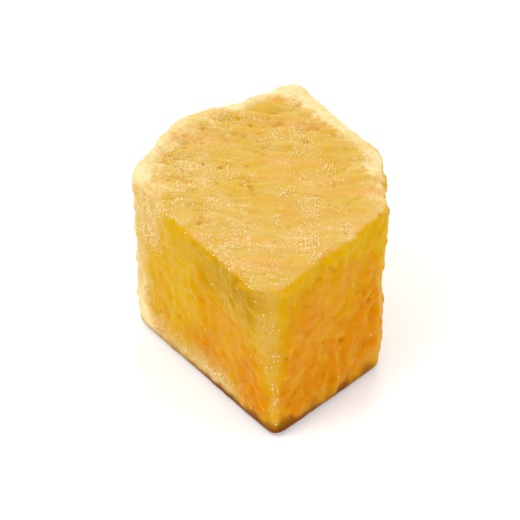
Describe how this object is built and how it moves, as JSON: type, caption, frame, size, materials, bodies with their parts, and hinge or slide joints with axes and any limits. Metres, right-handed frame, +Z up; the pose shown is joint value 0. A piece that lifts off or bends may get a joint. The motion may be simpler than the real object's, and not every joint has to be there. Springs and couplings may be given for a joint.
{
  "type": "dried mango chunk",
  "caption": "Chunk of dried candied mango, diced from a slab, with sunken knife-cut faces, soft rounded rims and a flat underside.",
  "frame": {"origin": "under the middle of the bounding box, in the plane of the flat underside", "axes": "+Z up, +Y from the chunk's sharpest corner, at the front, to its broad back, +X to the right as seen from the front"},
  "size_m": [0.0136, 0.0196, 0.0103],
  "materials": {
    "mango_flesh": "golden amber candied fruit, slightly translucent, frosted with fine sugar on the rims and the top"
  },
  "bodies": {
    "root": {"mango_chunk": "mango_flesh"}
  },
  "joints": []
}
